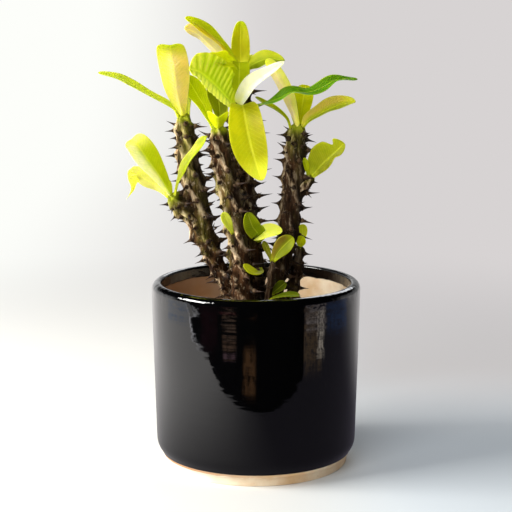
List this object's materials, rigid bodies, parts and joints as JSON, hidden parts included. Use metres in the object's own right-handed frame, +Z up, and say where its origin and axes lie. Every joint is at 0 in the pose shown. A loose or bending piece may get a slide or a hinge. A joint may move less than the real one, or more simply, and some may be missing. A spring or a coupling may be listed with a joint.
{
  "type": "potted euphorbia",
  "caption": "Thick-stemmed thorny euphorbia with lime leaves at its tips, planted in soil in a round black glazed pot with a bare clay foot.",
  "frame": {"origin": "middle of the pot's flat underside", "axes": "+Z up along the pot axis, -Y towards the front of the picture, +X to its right"},
  "size_m": [0.1726, 0.14, 0.2987],
  "materials": {
    "glaze": "glossy black glaze outside and round the lip, bare cream clay on the foot and inside",
    "soil": "matt dark brown potting mix with grit and bark crumbs",
    "bark": "matt grey brown bark, tan on the ribs and olive near the tips, dark thorns",
    "young_bark": "matt olive young bark",
    "leaf_lime": "satin waxy lime green leaf with a pale midrib",
    "leaf_olive": "satin waxy olive green leaf",
    "leaf_green": "satin waxy deeper green leaf",
    "leaf_blush": "satin leaf underside, blushed tan over yellow",
    "leaf_cream": "satin cream white leaf, yellow at the stalk"
  },
  "bodies": {
    "root": {"pot": "glaze", "soil": "soil", "stem_left": "bark", "stem_middle": "bark", "stem_tall": "bark", "stem_right": "bark", "shoot_right": "bark", "shoot_front": "young_bark", "leaf_left_long": "leaf_lime", "leaf_left_blush": "leaf_blush", "leaf_left_shaded": "leaf_olive", "leaf_left_rear": "leaf_olive", "leaf_low_drooping": "leaf_lime", "leaf_low_pale": "leaf_blush", "leaf_low_rear": "leaf_olive", "leaf_low_narrow": "leaf_lime", "leaf_middle_cup": "leaf_lime", "leaf_middle_shaded": "leaf_olive", "leaf_middle_left": "leaf_olive", "leaf_middle_rear": "leaf_olive", "leaf_tall_ribbed": "leaf_lime", "leaf_tall_white": "leaf_cream", "leaf_tall_hanging": "leaf_lime", "leaf_tall_wavy": "leaf_green", "leaf_tall_rear": "leaf_olive", "leaf_crown_narrow": "leaf_lime", "leaf_crown_blush": "leaf_blush", "leaf_crown_upright": "leaf_lime", "leaf_crown_right": "leaf_lime", "leaf_crown_rear": "leaf_olive", "leaf_crown_front": "leaf_lime", "leaf_crown_low": "leaf_olive", "leaf_right_blush": "leaf_blush", "leaf_right_back": "leaf_olive", "leaf_right_reaching": "leaf_blush", "leaf_right_thin": "leaf_lime", "leaf_right_rear": "leaf_olive", "leaf_side_broad": "leaf_olive", "leaf_side_young": "leaf_lime", "leaf_base_slim": "leaf_lime", "leaf_base_round": "leaf_olive", "leaf_base_bright": "leaf_lime", "leaf_base_crescent": "leaf_lime", "leaf_base_olive": "leaf_olive", "leaf_base_small": "leaf_olive", "leaf_floor_flat": "leaf_lime", "leaf_floor_rising": "leaf_olive", "leaf_shoot_back": "leaf_lime", "leaf_shoot_front": "leaf_lime"}
  },
  "joints": []
}
